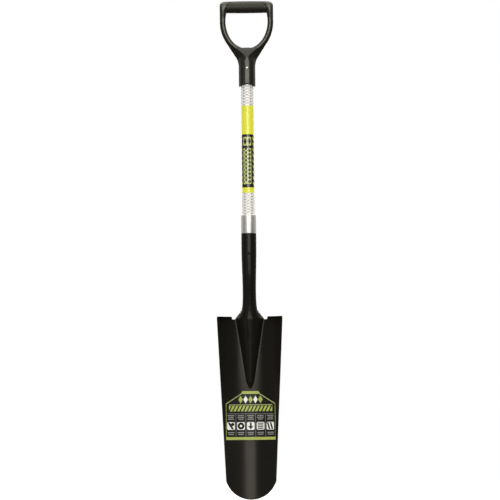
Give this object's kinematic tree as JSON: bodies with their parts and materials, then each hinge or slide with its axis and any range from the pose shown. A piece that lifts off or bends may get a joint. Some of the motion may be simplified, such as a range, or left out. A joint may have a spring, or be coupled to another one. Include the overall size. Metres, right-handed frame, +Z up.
{
  "type": "post hole digging spade",
  "caption": "Long narrow trough-bladed digging spade with foot treads, a rolled socket with a bright collar, a taped straight fibreglass shaft and a moulded D-grip.",
  "frame": {"origin": "on the shaft's axis, at the height of the blade's tip", "axes": "+Z up the shaft from the blade's tip to the grip, -Y out of the hollow front face of the blade, X across the blade"},
  "size_m": [0.1446, 0.0446, 1.1031],
  "materials": {
    "blade_paint": "satin black powder coat",
    "collar_steel": "bright drawn steel",
    "grip_plastic": "moulded black plastic, fine grain",
    "rivet_steel": "bright",
    "reflective_tape": "silver prismatic",
    "shaft_print": "printed film, lime and black",
    "blade_print": "printed film, black and lime",
    "fibreglass": "resin over glass strands",
    "shaft_core": "plain"
  },
  "bodies": {
    "root": {"blade": "blade_paint", "back_plate": "blade_paint", "blade_label": "blade_print", "socket_rivet": "blade_paint", "socket_collar": "collar_steel", "handle_shell": "fibreglass", "handle_core": "shaft_core", "lower_reflective_tape": "reflective_tape", "shaft_label": "shaft_print", "upper_reflective_tape": "reflective_tape", "d_grip": "grip_plastic", "grip_rivet": "rivet_steel"}
  },
  "joints": []
}
